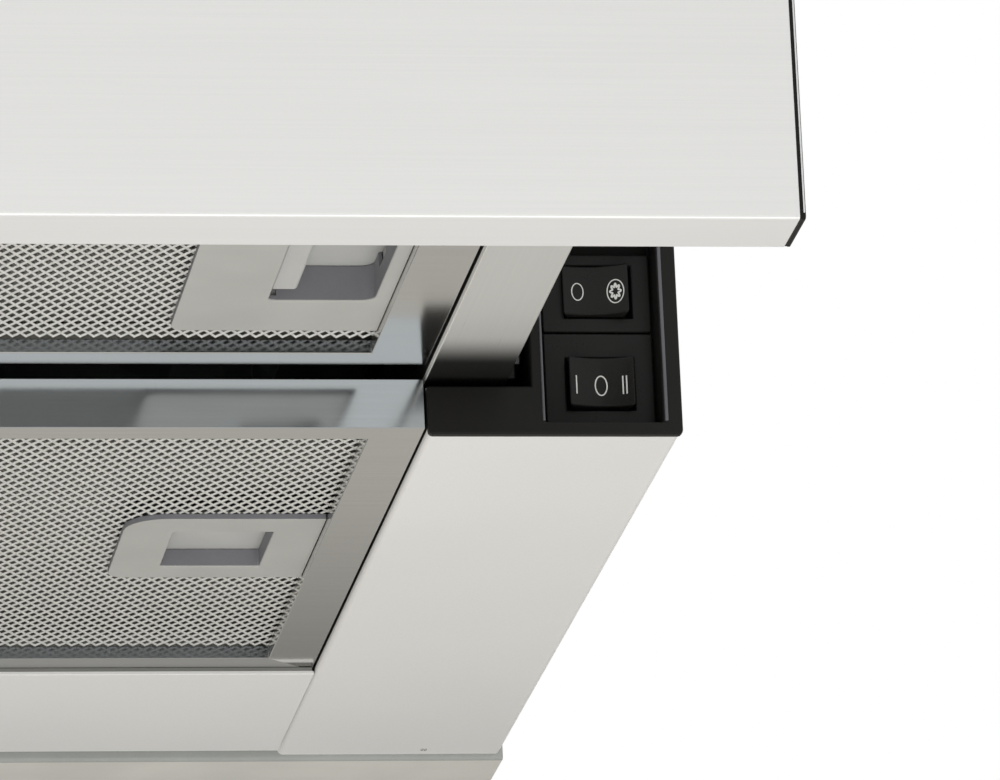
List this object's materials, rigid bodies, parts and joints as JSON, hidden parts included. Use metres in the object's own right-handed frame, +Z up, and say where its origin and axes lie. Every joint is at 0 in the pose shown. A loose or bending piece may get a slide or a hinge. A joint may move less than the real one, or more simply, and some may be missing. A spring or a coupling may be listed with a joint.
{
  "type": "pull out range hood",
  "caption": "Pull-out range hood with a sliding visor, mesh grease filters, rocker switches, a centrifugal blower and a round top outlet.",
  "frame": {"origin": "middle of the four cabinet screws, on top of the tray", "axes": "+X to the user's right, +Y back to the wall, +Z up; the visor pulls out along -Y"},
  "size_m": [0.6, 0.4371, 0.2596],
  "materials": {
    "painted_steel": "silver-grey satin paint on folded sheet steel",
    "brushed_front": "horizontally brushed stainless steel",
    "satin_steel": "satin stainless steel",
    "galvanised": "galvanised sheet",
    "zinc_hardware": "zinc plated",
    "filter_aluminium": "smooth satin aluminium",
    "filter_mesh": "expanded aluminium",
    "black_plastic": "fine matt black",
    "rocker_plastic": "smooth black",
    "latch_plastic": "light warm grey",
    "latch_slider_plastic": "light grey, slightly blue",
    "nylon": "natural white",
    "bumper_rubber": "matt black",
    "strip_plastic": "beige grey",
    "lamp_trim": "satin ring",
    "lamp_lens": "frosted",
    "cast_aluminium": "as cast",
    "capacitor_case": "off-white",
    "terminal_brass": "bare"
  },
  "bodies": {
    "hood": {"side_panel_right": "painted_steel", "side_panel_left": "painted_steel", "rear_panel": "painted_steel", "rear_wall": "painted_steel", "top_plate": "painted_steel", "front_beam": "painted_steel", "switch_housing": "black_plastic", "end_housing": "black_plastic", "light_switch_body": "black_plastic", "fan_switch_body": "black_plastic", "switch_terminals": "terminal_brass", "guide_rail_right": "satin_steel", "guide_rail_left": "satin_steel", "guide_bush_right": "nylon", "guide_bush_left": "nylon", "end_bumpers": "bumper_rubber", "filler_strip": "strip_plastic", "clinch_nuts": "zinc_hardware", "lamp_ring_right": "lamp_trim", "lamp_ring_left": "lamp_trim", "lamp_lens_right": "lamp_lens", "lamp_lens_left": "lamp_lens", "lamp_module_right": "cast_aluminium", "lamp_module_left": "cast_aluminium", "motor_housing": "painted_steel", "housing_screws": "zinc_hardware", "outlet_collar": "black_plastic", "flap_pin": "zinc_hardware", "scroll_wall": "galvanised", "inlet_plate_right": "galvanised", "inlet_plate_left": "galvanised", "motor": "cast_aluminium", "motor_bracket": "galvanised", "capacitor": "capacitor_case", "terminal_box": "black_plastic", "terminal_lid": "black_plastic", "cable_gland": "black_plastic", "rear_filter_frame": "filter_aluminium", "rear_filter_mesh": "filter_mesh", "rear_latch_plate": "latch_plastic"},
    "visor": {"front_panel": "brushed_front", "end_cap_right": "black_plastic", "end_cap_left": "black_plastic", "cross_bar": "satin_steel", "visor_cover": "satin_steel", "arm_right": "satin_steel", "arm_left": "satin_steel", "glide_shoes": "nylon", "visor_screws": "zinc_hardware", "visor_filter_frame": "filter_aluminium", "visor_filter_mesh": "filter_mesh", "visor_latch_plate": "latch_plastic"},
    "visor_latch": {"visor_latch_slider": "latch_slider_plastic"},
    "rear_latch": {"rear_latch_slider": "latch_slider_plastic"},
    "light_rocker": {"light_rocker": "rocker_plastic"},
    "fan_rocker": {"fan_rocker": "rocker_plastic"},
    "impeller": {"impeller": "galvanised", "motor_shaft": "zinc_hardware"},
    "flap_front": {"flap_front": "black_plastic"},
    "flap_rear": {"flap_rear": "black_plastic"}
  },
  "joints": [
    {"name": "visor_slide", "type": "slide", "parent": "hood", "child": "visor", "axis": [0, 1, 0], "range_m": [0, 0.126]},
    {"name": "visor_latch_slide", "type": "slide", "parent": "visor", "child": "visor_latch", "axis": [1, 0, 0], "range_m": [-0.005, 0], "stiffness_N_per_m": 300, "springref_m": 0.004},
    {"name": "rear_latch_slide", "type": "slide", "parent": "hood", "child": "rear_latch", "axis": [1, 0, 0], "range_m": [-0.005, 0], "stiffness_N_per_m": 300, "springref_m": 0.004},
    {"name": "light_rocker_tilt", "type": "hinge", "parent": "hood", "child": "light_rocker", "pos_m": [0.2831, -0.124, -0.0247], "axis": [0, 0, 1], "range_deg": [0, 16]},
    {"name": "fan_rocker_tilt", "type": "hinge", "parent": "hood", "child": "fan_rocker", "pos_m": [0.28285, -0.124, -0.04495], "axis": [0, 0, 1], "range_deg": [-8, 8]},
    {"name": "impeller_spin", "type": "hinge", "parent": "hood", "child": "impeller", "pos_m": [0, -0.038, 0.078], "axis": [1, 0, 0], "continuous": true},
    {"name": "flap_front_swing", "type": "hinge", "parent": "hood", "child": "flap_front", "pos_m": [0, 0, 0.178], "axis": [-1, 0, 0], "range_deg": [0, 75]},
    {"name": "flap_rear_swing", "type": "hinge", "parent": "hood", "child": "flap_rear", "pos_m": [0, 0, 0.178], "axis": [1, 0, 0], "range_deg": [0, 75]}
  ]
}
